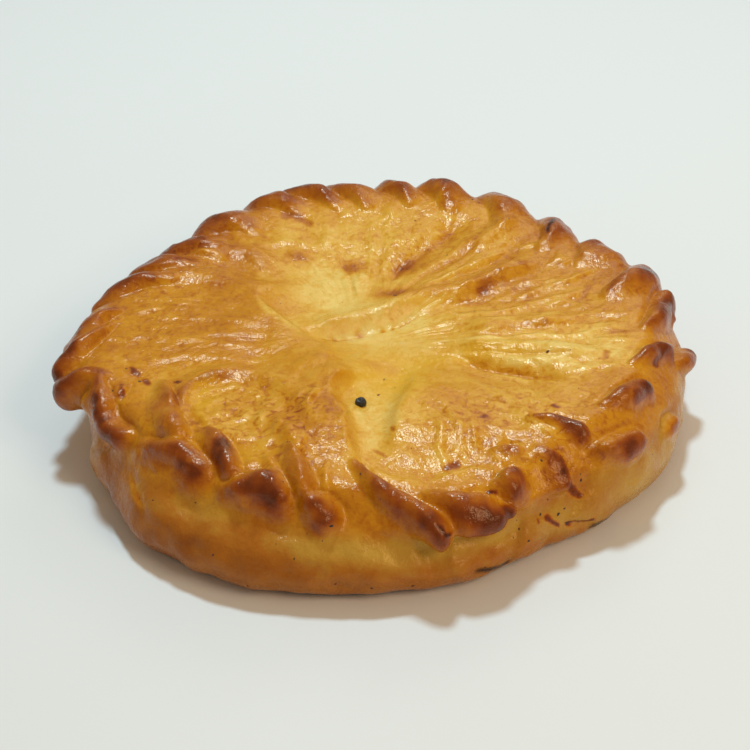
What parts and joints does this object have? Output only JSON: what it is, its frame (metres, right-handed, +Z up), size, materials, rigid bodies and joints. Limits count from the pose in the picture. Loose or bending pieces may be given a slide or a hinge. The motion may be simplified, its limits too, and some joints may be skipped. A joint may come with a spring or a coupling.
{
  "type": "meat pie",
  "caption": "Round baked meat pie with a folded golden lid, a rope-crimped rim, a smooth bulging wall and a flat base.",
  "frame": {"origin": "middle of the outline, at the underside that the pie rests on", "axes": "+Z up out of the lid; -Y towards the side that the picture shows"},
  "size_m": [0.266, 0.2538, 0.0506],
  "materials": {
    "crust": "egg-washed baked dough, golden with browner crimps"
  },
  "bodies": {
    "root": {"pie": "crust"}
  },
  "joints": []
}
